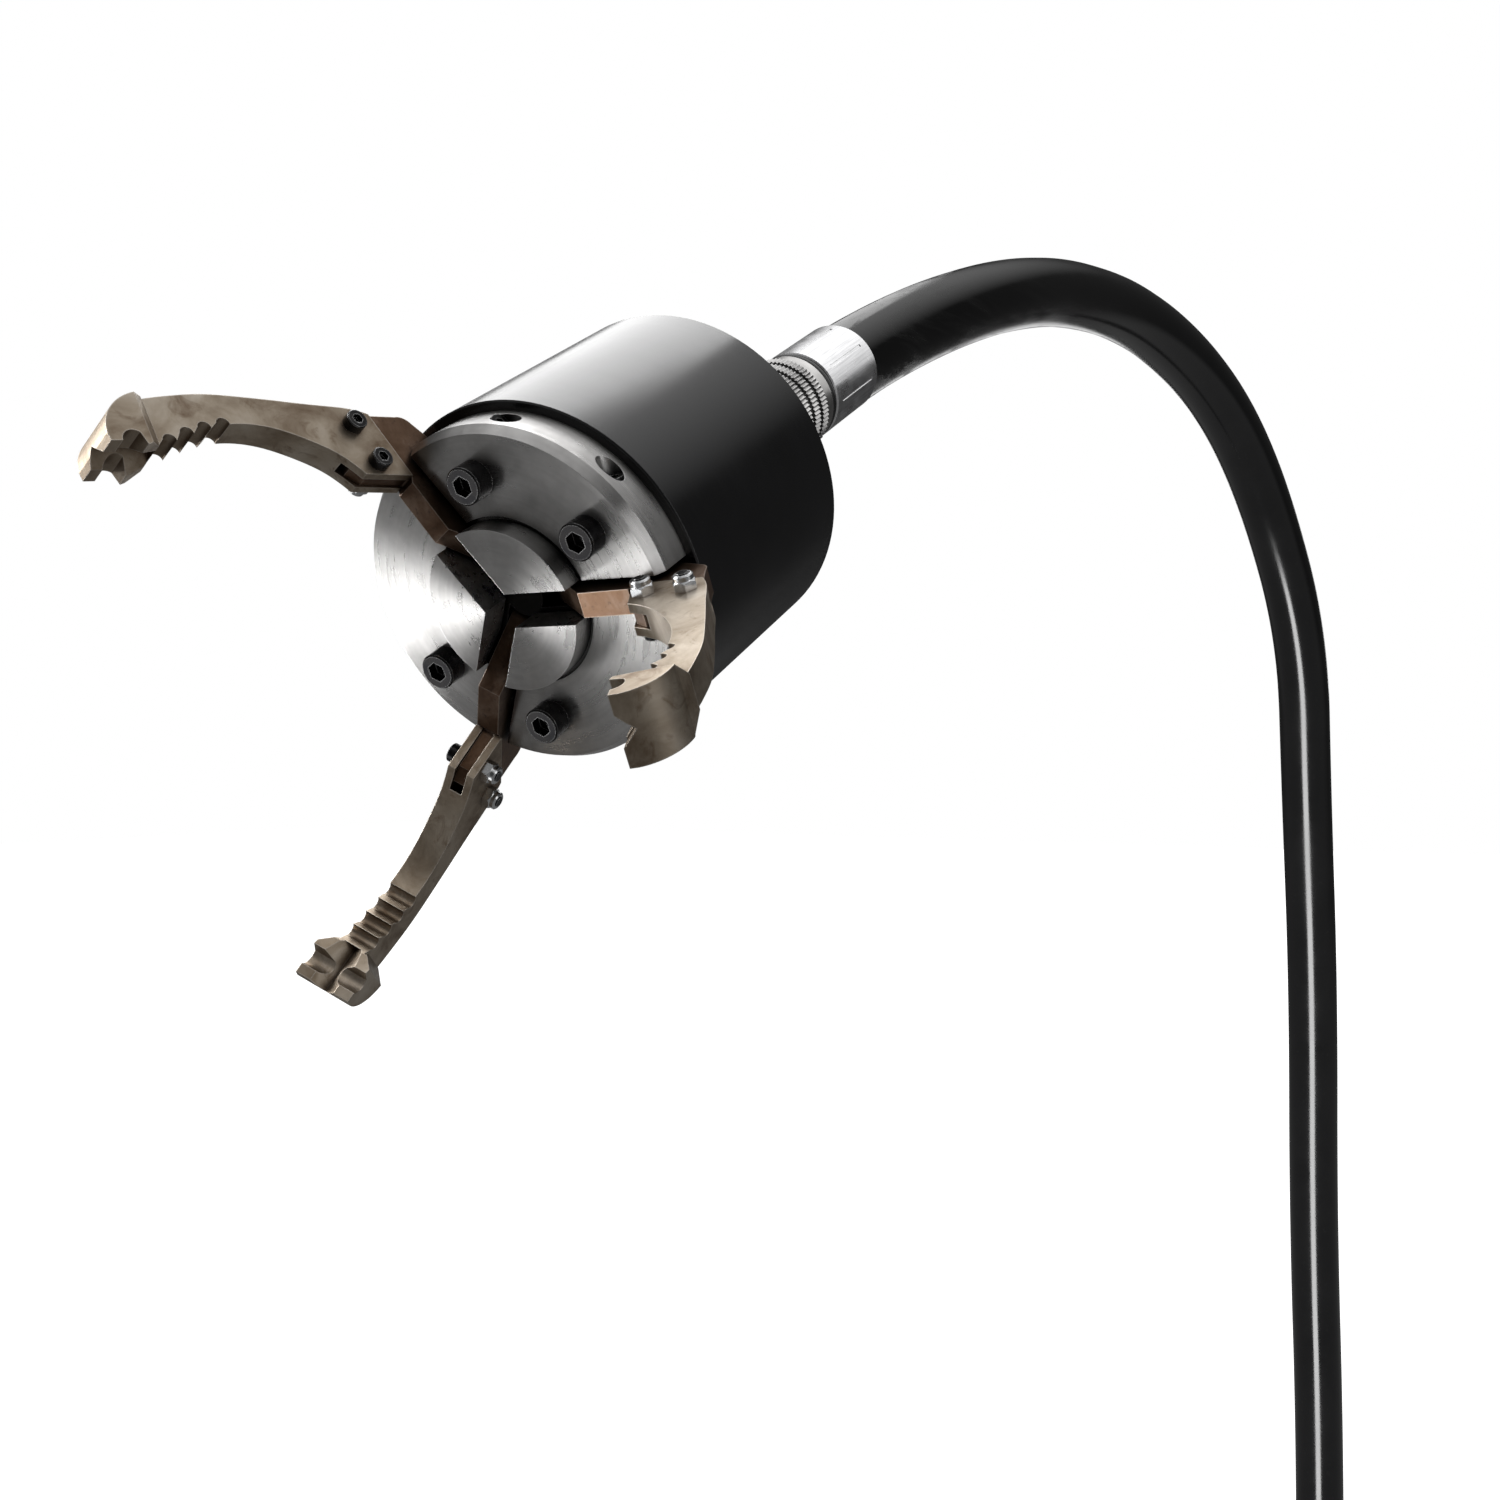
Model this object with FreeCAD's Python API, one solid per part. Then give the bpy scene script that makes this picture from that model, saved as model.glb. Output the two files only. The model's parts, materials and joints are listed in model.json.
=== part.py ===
import FreeCAD, Part
import math
import os

# Three-jaw pneumatic gripper on its rubber air hose. All lengths are in mm and all angles in degrees.
#
# Head frame: origin at the centre of the front flange's face, +Z out of the face along the piston's
# axis, +X towards the upper side of the head. The whole head is drawn in it and placed once.
# Row frame: origin at the shoulder of the lower hose fitting's thread, +Z up, and the gripper points
# along +X with its nose down.
# Slot frame: the head frame turned about Z, so X runs outward along one lever's slot and Y across it.

Vec = FreeCAD.Vector

# Where the head hangs, seen from the lower hose fitting
FACE_CENTRE = Vec(780.0, -24.0, 592.0)
NOSE_DOWN = 28.0

# Housing
HOUSING_R = 50.0
HOUSING_FRONT = -13.1
HOUSING_REAR = -91.1
HOUSING_REAR_EDGE = 1.2
HOUSING_FRONT_EDGE = 0.4
SPIGOT_R = 44.0
SPIGOT_REAR = -22.0
WEB_REAR = -38.0
CHAMBER_R = 36.0
CHAMBER_REAR = -84.0
PORT_R = 10.4
LEVER_POCKET_R = 33.5
LEVER_POCKET_REAR = -33.0

# Front flange and its boss
FACE_R = 45.6
FLANGE_R = 47.3
FLANGE_CHAMFER = 3.0
BOSS_R = 22.6
BOSS_H = 6.5
BOSS_GROOVE = 1.1
GUIDE_BORE_R = 23.55
GUIDE_BORE_FRONT = -3.0
SLOT_W = 9.4
SLOT_FLOOR = -14.6
SLOT_THROUGH_R = 38.5

# Cap screws that hold the flange: M6 x 35
FLANGE_SCREW_ANGLES = (0.0, 120.0, 180.0, 300.0)
FLANGE_SCREW_CIRCLE_R = 33.87
M6_R = 3.0
M6_HEAD_R = 5.1
M6_HEAD_H = 6.0
M6_LENGTH = 35.0
M6_SOCKET_AF = 5.0
M6_HOLE_SPARE = 1.0
HEAD_CHAMFER_SHARE = 0.09
M6_CLEARANCE_R = 3.2

# Lever pivots
LEVER_ANGLES = (30.0, 150.0, 270.0)
PIVOT_X = 35.7
PIVOT_Z = -7.8
PIVOT_PIN_R = 2.5
PIVOT_BORE_R = 2.55
PIVOT_PIN_HALF = 20.0
SET_SCREW_R = 2.9
SET_SCREW_START = 21.5
SET_SCREW_LENGTH = 7.0
SET_SCREW_SOCKET = 3.0
SET_SCREW_PLAY = 0.03

# Lever drive: each lever carries a cross pin that rides in the crosshead's cam groove
DRIVE_ARM = 25.0
DRIVE_ANGLE = 8.0
CLOSING_ANGLE = 43.0
EXTRA_OPENING = (0.0, 6.5, 0.0)
DRIVE_PIN_R = 2.0
DRIVE_PIN_HALF = 6.4
DRIVE_EYE_R = 4.2
DRIVE_EYE_FRONT = Vec(-0.64, 0, 0.768)
LEVER_T = 6.8
TONGUE_T = 3.6

# Crosshead, rod and piston, drawn at the open end of the stroke
CROSSHEAD_R = 23.5
CROSSHEAD_FRONT = -4.0
CROSSHEAD_REAR = -22.0
CROSSHEAD_SLOT_W = 7.3
CROSSHEAD_SLOT_FLOOR = -17.6
CROSSHEAD_CORE_R = 5.8
CROSSHEAD_EDGE = 0.6
GROOVE_HALF = 6.8
GROOVE_CLEARANCE = 0.3
GROOVE_STEPS = 60
GROOVE_PITCH = 0.4
GROOVE_START = 0.02
ROD_R = 8.0
ROD_STUD_R = 4.0
ROD_STUD_FRONT = -8.0
ROD_TAIL_R = 5.0
ROD_TAIL_SHORT = 0.5
PISTON_R = 35.95
PISTON_FRONT = -52.0
PISTON_REAR = -64.0
SPRING_SEAT_DEPTH = 4.0
NUT_RECESS_DEPTH = 6.0
NUT_RECESS_R = 11.0
PISTON_NUT_AF = 17.0
PISTON_NUT_H = 5.0
SEAL_GROOVE_R = 31.6
SEAL_W = 3.6
SEAL_Z = PISTON_REAR + 3.2
GUIDE_GROOVE_R = 34.0
GUIDE_W = 2.6
GUIDE_Z = PISTON_FRONT - 3.2
RING_PROUD = 0.03
RING_SIDE_PLAY = 0.1

# Closing spring
SPRING_WIRE_R = 1.75
SPRING_MEAN_R = 27.6
SPRING_TURNS = 3.1
SPRING_STEPS = 60
SPRING_SEAT_PLAY = 0.55
SPRING_END_GAP = 0.05

# Jaws
JAW_T = 8.5
TIP_T = 17.0
CLEVIS_GAP = 3.8
JAW_BOLT_POINTS = ((48.2, 10.2), (59.6, 8.6))
JAW_BOLT_SOCKET = 2.5
JAW_BOLT_SPARE = 0.3
M3_R = 1.5
M3_HEAD_R = 2.75
M3_HEAD_H = 3.0
M3_NUT_AF = 5.5
M3_NUT_H = 2.5
M3_NUT_COLLAR_R = 2.6
M3_NUT_COLLAR_EDGE = 0.4
M3_NUT_CONE = (5.15, 2.65)
M3_NUT_CORNER_H = 0.9
M3_NUT_TOP = 4.0
M3_CLEARANCE_R = 1.6

# Hose and its fittings; the stations run backward from the flange face along the head's axis
HOSE_R = 14.5
HOSE_BORE_R = 9.5
STEM_R = 9.4
AIR_BORE_R = 6.5
STEM_SHORT = 6.0
NIPPLE_HEX_AF = 30.0
NIPPLE_HEX_END = 103.0
NIPPLE_NOSE_R = 13.3
NIPPLE_NOSE_END = 138.0
NUT_START = 106.0
NUT_END = 164.6
NUT_BODY_R = 15.2
NUT_THREAD_R = 13.6
NUT_THREAD_END = 154.0
NUT_THROAT_R = 10.6
STEM_COLLAR_R = 13.2
STEM_COLLAR = (138.4, 153.6)
STEM_NECK_R = 10.3
KNURL_R = 16.4
KNURL_DEPTH = 0.6
KNURL_TEETH = 72
KNURL_BANDS = ((112.0, 118.0), (143.4, 147.0), (149.2, 152.8), (155.0, 158.6))
GLAND_RING_END = 168.0
FERRULE_R = 15.25
FERRULE_START = 168.0
FERRULE_END = 200.0
FERRULE_LIP = 3.0
FERRULE_BORE_R = 10.35
FERRULE_EDGE = 0.5
CRIMP_LINES = 8
CRIMP_DEPTH = 0.22
CRIMP_HALF_W = 0.5
CRIMP_MARGIN = 4.0
CRIMP_FIRST = 13.5
GLAND_RING_R = 13.5
GLAND_CORD_R = 1.7
HOSE_START = FERRULE_START + FERRULE_LIP
FERRULE_LENGTH = FERRULE_END - FERRULE_START
LOWER_THREAD_R = 13.2
LOWER_THREAD_LENGTH = 16.0
LOWER_HEX_AF = 36.0
LOWER_HEX_H = 14.6
LOWER_THREAD_EDGE = 1.2
ARC_SHARE = 0.45

# The hose's centreline between its two straight ends, measured from the flange face in row axes
HOSE_FIRST_TURN = 226.0
HOSE_MIDDLE = (
    Vec(-285.0, 7.5, 142.0),
    Vec(-379.0, 8.0, 166.0),
    Vec(-475.0, 12.0, 172.0),
    Vec(-565.0, 20.5, 151.5),
    Vec(-634.0, 27.5, 105.0),
    Vec(-691.5, 34.5, 28.0),
    Vec(-725.5, 28.5, -64.0),
    Vec(-749.5, 27.0, -186.5),
    Vec(-766.5, 23.0, -335.0),
)
HOSE_LAST_TURN = Vec(-780.0, 24.0, -480.0)
HOSE_END = Vec(-780.0, 24.0, -574.0)

# Widths shared by the cutting tools
OVER = 2.0
FAR = 80.0

nodes = {}


def cylinder(radius, z0, z1):
    return Part.makeCylinder(radius, abs(z1 - z0), Vec(0, 0, min(z0, z1)))


def ring(outer, inner, z0, z1):
    return cylinder(outer, z0, z1).cut(cylinder(inner, min(z0, z1) - OVER, max(z0, z1) + OVER))


def cross_cylinder(radius, x, z, y0, y1):
    return Part.makeCylinder(radius, y1 - y0, Vec(x, y0, z), Vec(0, 1, 0))


def box(x0, x1, y0, y1, z0, z1):
    return Part.makeBox(x1 - x0, y1 - y0, z1 - z0, Vec(x0, y0, z0))


def hexagon(across_flats, z0, z1):
    corner = across_flats / math.sqrt(3.0)
    points = [Vec(corner * math.cos(math.radians(60 * i)), corner * math.sin(math.radians(60 * i)), z0)
              for i in range(7)]
    return Part.Face(Part.makePolygon(points)).extrude(Vec(0, 0, z1 - z0))


def about_z(shape, angle):
    turned = shape.copy()
    turned.rotate(Vec(0, 0, 0), Vec(0, 0, 1), angle)
    return turned


def side_points(pairs):
    return [Vec(x, 0, z) for x, z in pairs]


def plate(edges, thickness):
    face = Part.Face(Part.Wire(edges))
    face.translate(Vec(0, -thickness / 2.0, 0))
    return face.extrude(Vec(0, thickness, 0))


def line_edges(pairs):
    points = side_points(pairs)
    return [Part.LineSegment(a, b).toShape() for a, b in zip(points[:-1], points[1:])]


def spline_edge(pairs):
    curve = Part.BSplineCurve()
    curve.interpolate(side_points(pairs))
    return curve.toShape()


def arc_edge(start, middle, end):
    return Part.Arc(*side_points((start, middle, end))).toShape()


def polygon_plate(pairs, thickness):
    return plate(line_edges(list(pairs) + [pairs[0]]), thickness)


def chamfered(shape, size, test):
    edges = [edge for edge in shape.Edges if test(edge)]
    return shape.makeChamfer(size, edges)


def is_circle(edge, radius, z):
    curve = edge.Curve
    if not isinstance(curve, Part.Circle):
        return False
    return abs(curve.Radius - radius) < 1e-4 and abs(curve.Center.z - z) < 1e-4


# ---------------------------------------------------------------- placement of the head

tilt = math.radians(NOSE_DOWN)
FRONT = Vec(math.cos(tilt), 0, -math.sin(tilt))
UPPER = Vec(math.sin(tilt), 0, math.cos(tilt))
ACROSS = Vec(0, -1, 0)
HEAD = FreeCAD.Placement(FreeCAD.Matrix(
    UPPER.x, ACROSS.x, FRONT.x, FACE_CENTRE.x,
    UPPER.y, ACROSS.y, FRONT.y, FACE_CENTRE.y,
    UPPER.z, ACROSS.z, FRONT.z, FACE_CENTRE.z,
    0, 0, 0, 1))


def add(name, *solids):
    shape = solids[0] if len(solids) == 1 else Part.makeCompound(list(solids))
    nodes[name] = shape


def add_head(name, *solids):
    placed = []
    for solid in solids:
        copy = solid.copy()
        copy.Placement = HEAD.multiply(copy.Placement)
        placed.append(copy)
    add(name, *placed)


# ---------------------------------------------------------------- lever drive geometry

def drive_point(angle):
    return (PIVOT_X - DRIVE_ARM * math.cos(math.radians(angle)),
            PIVOT_Z - DRIVE_ARM * math.sin(math.radians(angle)))


closed_angle = DRIVE_ANGLE + CLOSING_ANGLE
STROKE = drive_point(DRIVE_ANGLE)[1] - drive_point(closed_angle)[1]


def groove_path(extra):
    """The drive pin's path seen from the crosshead, from open to closed."""
    path = []
    for i in range(GROOVE_STEPS + 1):
        share = i / GROOVE_STEPS
        x, z = drive_point(DRIVE_ANGLE - extra + share * (CLOSING_ANGLE + extra))
        path.append((x, z + share * STROKE))
    return path


def groove_side(path, reach, side):
    """The groove's front (side 1) or rear (side -1) wall, as far as the pin and its clearance sweep."""
    last_x, last_z = path[-1]
    wall = []
    x = path[0][0] - reach + GROOVE_START
    while x < last_x:
        depths = [z + side * math.sqrt(reach ** 2 - (x - at) ** 2) for at, z in path if abs(x - at) < reach]
        wall.append((x, max(depths) if side > 0 else min(depths)))
        x += GROOVE_PITCH
    end = last_z + side * reach
    return wall + [(last_x, end), (CROSSHEAD_R + OVER, end)]


# ---------------------------------------------------------------- housing and flange

def make_housing():
    body = cylinder(HOUSING_R, HOUSING_REAR, HOUSING_FRONT)
    for z, size in ((HOUSING_REAR, HOUSING_REAR_EDGE), (HOUSING_FRONT, HOUSING_FRONT_EDGE)):
        body = chamfered(body, size, lambda edge, z=z: is_circle(edge, HOUSING_R, z))
    body = body.cut(cylinder(SPIGOT_R, SPIGOT_REAR, HOUSING_FRONT + OVER))
    body = body.cut(cylinder(GUIDE_BORE_R, WEB_REAR - OVER, SPIGOT_REAR + OVER))
    body = body.cut(cylinder(CHAMBER_R, CHAMBER_REAR, WEB_REAR))
    body = body.cut(cylinder(PORT_R, HOUSING_REAR - OVER, CHAMBER_REAR + OVER))
    for angle in LEVER_ANGLES:
        pocket = box(0, LEVER_POCKET_R, -SLOT_W / 2, SLOT_W / 2, LEVER_POCKET_REAR, SPIGOT_REAR + OVER)
        body = body.cut(about_z(pocket, angle))
    for angle in FLANGE_SCREW_ANGLES:
        thread = cylinder(M6_R, -M6_LENGTH - M6_HOLE_SPARE, SPIGOT_REAR + OVER)
        thread.translate(Vec(FLANGE_SCREW_CIRCLE_R, 0, 0))
        body = body.cut(about_z(thread, angle))
    return body


def make_flange():
    body = cylinder(FLANGE_R, HOUSING_FRONT, 0)
    cone = Part.makeCone(FLANGE_R, FACE_R, FLANGE_CHAMFER, Vec(0, 0, -FLANGE_CHAMFER))
    body = body.common(cylinder(FLANGE_R, HOUSING_FRONT, -FLANGE_CHAMFER).fuse(cone))
    body = body.fuse(cylinder(SPIGOT_R, SPIGOT_REAR, HOUSING_FRONT + OVER))
    body = body.fuse(cylinder(BOSS_R, -OVER, BOSS_H))
    body = body.cut(ring(BOSS_R + BOSS_GROOVE, BOSS_R, -BOSS_GROOVE, OVER))
    body = body.cut(cylinder(GUIDE_BORE_R, SPIGOT_REAR - OVER, GUIDE_BORE_FRONT))
    for angle in LEVER_ANGLES:
        upper = box(0, FAR, -SLOT_W / 2, SLOT_W / 2, SLOT_FLOOR, BOSS_H + OVER)
        inner = box(0, SLOT_THROUGH_R, -SLOT_W / 2, SLOT_W / 2, SPIGOT_REAR - OVER, SLOT_FLOOR + OVER)
        pin_hole = cross_cylinder(PIVOT_PIN_R, PIVOT_X, PIVOT_Z, -FLANGE_R, FLANGE_R)
        body = body.cut(about_z(upper.fuse(inner).fuse(pin_hole), angle))
        for side in (-1, 1):
            start = side * SET_SCREW_START
            low, high = sorted((start, side * FAR))
            seat = cross_cylinder(SET_SCREW_R, PIVOT_X, PIVOT_Z, low, high)
            body = body.cut(about_z(seat, angle))
    for angle in FLANGE_SCREW_ANGLES:
        hole = cylinder(M6_CLEARANCE_R, SPIGOT_REAR - OVER, OVER)
        hole.translate(Vec(FLANGE_SCREW_CIRCLE_R, 0, 0))
        body = body.cut(about_z(hole, angle))
    return body.removeSplitter()


def cap_screw(shank_r, head_r, head_h, length, socket_af):
    """A cap screw standing on z = 0 with its head in +Z."""
    head = chamfered(cylinder(head_r, 0, head_h), HEAD_CHAMFER_SHARE * head_r,
                     lambda edge: is_circle(edge, head_r, head_h))
    head = head.cut(hexagon(socket_af, 0.5 * head_h, head_h + OVER))
    return head.fuse(cylinder(shank_r, -length, 0)).removeSplitter()


def set_screw():
    body = cylinder(SET_SCREW_R - SET_SCREW_PLAY, 0, SET_SCREW_LENGTH)
    return body.cut(hexagon(SET_SCREW_SOCKET, SET_SCREW_LENGTH - SET_SCREW_SOCKET, SET_SCREW_LENGTH + OVER))


def across_slot(shape, x, z, side, offset):
    """Turns a shape that stands along Z so it lies along the slot's Y, on the side given."""
    turned = shape.copy()
    turned.rotate(Vec(0, 0, 0), Vec(1, 0, 0), -90.0 * side)
    turned.translate(Vec(x, side * offset, z))
    return turned


# ---------------------------------------------------------------- lever and jaw, in the slot frame at rest

LEVER_FRONT = ((23.4, 4.1), (24.6, 5.3), (39.6, 4.4), (40.9, 3.3))
LEVER_SHOULDER = (60.2, 1.6)
LEVER_BACK = ((56.6, -6.2), (55.4, -8.3), (53.0, -9.5), (49.4, -10.6), (43.5, -12.2), (38.2, -14.2))
LEVER_ARM_BACK = ((33.0, -14.4), (24.0, -14.9))
TONGUE = ((40.0, 2.4), (41.4, 3.4), (46.9, 14.4), (51.0, 16.6), (64.0, 10.8), (60.2, 1.6), (56.0, -2.0))
CLEVIS_CUT = ((36.0, 0.0), (45.2, 18.6), (52.4, 18.4), (66.6, 12.2), (62.0, -3.0))

JAW_REAR_INNER = (40.9, 3.4)
JAW_INNER = ((47.0, 16.0), (50.0, 16.9), (55.0, 19.1), (59.5, 22.3), (63.6, 25.9), (67.3, 29.8), (70.4, 34.2),
             (73.3, 40.6))
JAW_OUTER = ((60.2, 1.6), (64.0, 6.3), (66.6, 10.9), (70.5, 18.2), (74.0, 24.4), (77.2, 30.3), (80.9, 37.3),
             (83.3, 42.6), (85.7, 49.8), (87.5, 56.5), (88.1, 60.3))
TOOTH_TIPS = ((73.3, 40.6), (74.4, 45.9), (75.0, 51.2), (75.2, 56.6))
TOOTH_LAST = (75.5, 62.9)
GULLET_DEEP = 2.3
GULLET_RISE = 0.9
GULLET_END = (1.7, 3.1)
TIP_STEP = (75.8, 67.5)
TIP_GULLET = ((79.2, 67.1), (80.7, 69.5), (79.1, 72.4))
TIP_FRONT = ((79.1, 72.4), (80.2, 75.0), (82.2, 74.4))
TIP_NOSE = ((82.2, 74.4), (86.0, 71.2), (88.2, 66.0), (88.1, 60.3))

TIP_ROOT = (88.2, 56.4)
TIP_ACROSS = Vec(-0.9216, 0, 0.3882)
TIP_ALONG = Vec(0.3882, 0, 0.9216)
TIP_INNER = 12.6
TIP_START = -3.0
TIP_FLARE = 4.0
TIP_END = 30.0
TIP_CUT_BACK = 10.0
TIP_CUT_LENGTH = 40.0
VEE_POINT = (80.2, 65.0)
VEE_BACK = 4.5
VEE_LENGTH = 22.0
VEE_DEPTH = 8.0
VEE_HALF = 7.8


def make_lever():
    eye_x, eye_z = drive_point(DRIVE_ANGLE)
    arm_back = line_edges((LEVER_BACK[-1],) + LEVER_ARM_BACK + ((eye_x, eye_z - DRIVE_EYE_R),))
    eye_front = (eye_x + DRIVE_EYE_R * DRIVE_EYE_FRONT.x, eye_z + DRIVE_EYE_R * DRIVE_EYE_FRONT.z)
    eye = [arc_edge((eye_x, eye_z - DRIVE_EYE_R), (eye_x - DRIVE_EYE_R, eye_z), eye_front)]
    front = line_edges((eye_front,) + LEVER_FRONT + (LEVER_SHOULDER,))
    corner = line_edges((LEVER_SHOULDER, LEVER_BACK[0]))
    round_corner = [arc_edge(LEVER_BACK[0], LEVER_BACK[1], LEVER_BACK[2])]
    rear = line_edges(LEVER_BACK[2:])
    body = plate(front + corner + round_corner + rear + arm_back + eye, LEVER_T)
    body = body.fuse(polygon_plate(TONGUE, TONGUE_T))
    body = body.cut(cross_cylinder(PIVOT_BORE_R, PIVOT_X, PIVOT_Z, -FAR, FAR))
    body = body.cut(cross_cylinder(DRIVE_PIN_R, eye_x, eye_z, -FAR, FAR))
    for x, z in JAW_BOLT_POINTS:
        body = body.cut(cross_cylinder(M3_CLEARANCE_R, x, z, -FAR, FAR))
    return body.removeSplitter()


def tooth_edges():
    edges = []
    ends = TOOTH_TIPS[1:] + (TOOTH_LAST,)
    for tip, following in zip(TOOTH_TIPS, ends):
        deep = (tip[0] + GULLET_DEEP, tip[1] + GULLET_RISE)
        out = (tip[0] + GULLET_END[0], tip[1] + GULLET_END[1])
        edges.append(arc_edge(tip, deep, out))
        edges += line_edges((out, following))
    return edges


def tip_edges():
    return (line_edges((TOOTH_LAST, TIP_STEP, TIP_GULLET[0]))
            + [arc_edge(*TIP_GULLET)]
            + line_edges(TIP_FRONT)
            + [spline_edge(TIP_NOSE)])


def make_jaw():
    outer = spline_edge(JAW_OUTER)
    rear = line_edges((JAW_OUTER[0], JAW_REAR_INNER, JAW_INNER[0]))
    inner = [spline_edge(JAW_INNER)]
    arm = plate(rear + inner + tooth_edges() + tip_edges() + [outer], JAW_T)

    root_inner = (TIP_ROOT[0] + TIP_INNER * TIP_ACROSS.x, TIP_ROOT[1] + TIP_INNER * TIP_ACROSS.z)
    tip_outline = (line_edges((root_inner, TOOTH_LAST)) + tip_edges()
                   + line_edges((JAW_OUTER[-1], TIP_ROOT, root_inner)))
    tip = plate(tip_outline, TIP_T)
    flare = [(TIP_START, JAW_T / 2), (0.0, JAW_T / 2), (TIP_FLARE, TIP_T / 2), (TIP_END, TIP_T / 2)]
    outline = flare + [(along, -half) for along, half in reversed(flare)]
    root = Vec(TIP_ROOT[0], 0, TIP_ROOT[1]) - TIP_ACROSS * TIP_CUT_BACK
    points = [root + TIP_ALONG * along + Vec(0, half, 0) for along, half in outline + [outline[0]]]
    tip = tip.common(Part.Face(Part.makePolygon(points)).extrude(TIP_ACROSS * TIP_CUT_LENGTH))

    apex = Vec(VEE_POINT[0], 0, VEE_POINT[1]) - TIP_ALONG * VEE_BACK
    wide = apex + TIP_ACROSS * VEE_DEPTH
    vee = [apex, wide + Vec(0, VEE_HALF, 0), wide - Vec(0, VEE_HALF, 0), apex]
    groove = Part.Face(Part.makePolygon(vee)).extrude(TIP_ALONG * VEE_LENGTH)
    body = arm.fuse(tip).cut(groove)
    body = body.cut(polygon_plate(CLEVIS_CUT, CLEVIS_GAP))
    for x, z in JAW_BOLT_POINTS:
        body = body.cut(cross_cylinder(M3_CLEARANCE_R, x, z, -FAR, FAR))
    return body.removeSplitter()


def make_jaw_bolt():
    return cap_screw(M3_R, M3_HEAD_R, M3_HEAD_H, JAW_T + M3_NUT_TOP + JAW_BOLT_SPARE, JAW_BOLT_SOCKET)


def make_jaw_nut():
    body = hexagon(M3_NUT_AF, 0, M3_NUT_H)
    rounding = Part.makeCone(M3_NUT_CONE[0], M3_NUT_CONE[1], M3_NUT_H, Vec(0, 0, 0))
    collar = chamfered(cylinder(M3_NUT_COLLAR_R, 0, M3_NUT_TOP), M3_NUT_COLLAR_EDGE,
                       lambda edge: is_circle(edge, M3_NUT_COLLAR_R, M3_NUT_TOP))
    body = body.common(rounding.fuse(cylinder(FAR, -OVER, M3_NUT_CORNER_H))).fuse(collar)
    return body.cut(cylinder(M3_R, -OVER, M3_NUT_TOP + OVER))


# ---------------------------------------------------------------- crosshead, rod, piston and spring

def make_crosshead():
    body = cylinder(CROSSHEAD_R, CROSSHEAD_REAR, CROSSHEAD_FRONT)
    body = chamfered(body, CROSSHEAD_EDGE, lambda edge: is_circle(edge, CROSSHEAD_R, CROSSHEAD_FRONT))
    wide = groove_path(max(EXTRA_OPENING))
    plain = groove_path(0.0)
    reach = DRIVE_PIN_R + GROOVE_CLEARANCE
    outline = groove_side(wide, reach, 1) + groove_side(plain, reach, -1)[::-1]
    groove = polygon_plate(outline, 2 * GROOVE_HALF)
    slot = box(0, FAR, -CROSSHEAD_SLOT_W / 2, CROSSHEAD_SLOT_W / 2, CROSSHEAD_SLOT_FLOOR, OVER)
    slot = slot.cut(cylinder(CROSSHEAD_CORE_R, CROSSHEAD_REAR, OVER))
    for angle in LEVER_ANGLES:
        body = body.cut(about_z(groove, angle))
        body = body.cut(about_z(slot, angle))
    return body.cut(cylinder(ROD_STUD_R, CROSSHEAD_REAR - OVER, ROD_STUD_FRONT))


def make_rod():
    body = cylinder(ROD_R, PISTON_FRONT, CROSSHEAD_REAR)
    body = body.fuse(cylinder(ROD_STUD_R, CROSSHEAD_REAR - OVER, ROD_STUD_FRONT))
    tail = cylinder(ROD_TAIL_R, PISTON_REAR + ROD_TAIL_SHORT, PISTON_FRONT + OVER)
    return body.fuse(tail).removeSplitter()


def make_piston():
    body = cylinder(PISTON_R, PISTON_REAR, PISTON_FRONT)
    body = body.cut(ring(PISTON_R + OVER, SEAL_GROOVE_R, SEAL_Z - SEAL_W / 2, SEAL_Z + SEAL_W / 2))
    body = body.cut(ring(PISTON_R + OVER, GUIDE_GROOVE_R, GUIDE_Z - GUIDE_W / 2, GUIDE_Z + GUIDE_W / 2))
    seat_z = PISTON_FRONT - SPRING_SEAT_DEPTH
    seat_half = SPRING_WIRE_R + SPRING_SEAT_PLAY
    body = body.cut(ring(SPRING_MEAN_R + seat_half, SPRING_MEAN_R - seat_half, seat_z, PISTON_FRONT + OVER))
    body = body.cut(cylinder(NUT_RECESS_R, PISTON_REAR - OVER, PISTON_REAR + NUT_RECESS_DEPTH))
    return body.cut(cylinder(ROD_TAIL_R, PISTON_REAR - OVER, PISTON_FRONT + OVER))


def make_piston_nut():
    front = PISTON_REAR + NUT_RECESS_DEPTH
    body = hexagon(PISTON_NUT_AF, front - PISTON_NUT_H, front)
    return body.cut(cylinder(ROD_TAIL_R, front - PISTON_NUT_H - OVER, front + OVER))


def make_spring():
    """A plain coil, pressed between the housing's web and the piston's seat."""
    front = WEB_REAR - SPRING_WIRE_R - SPRING_END_GAP
    rear = PISTON_FRONT - SPRING_SEAT_DEPTH + SPRING_WIRE_R + SPRING_END_GAP
    centres = []
    for i in range(SPRING_STEPS + 1):
        share = i / SPRING_STEPS
        turn = 2 * math.pi * SPRING_TURNS * share
        centres.append(Vec(SPRING_MEAN_R * math.cos(turn), SPRING_MEAN_R * math.sin(turn),
                           rear + share * (front - rear)))
    coil = Part.BSplineCurve()
    coil.interpolate(centres)
    sweep = Part.BRepOffsetAPI.MakePipeShell(Part.Wire(coil.toShape()))
    sweep.setBiNormalMode(Vec(0, 0, 1))
    sweep.add(Part.Wire(Part.makeCircle(SPRING_WIRE_R, centres[0], coil.tangent(0)[0])))
    sweep.build()
    sweep.makeSolid()
    return sweep.shape()


# ---------------------------------------------------------------- hose end at the head

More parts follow.
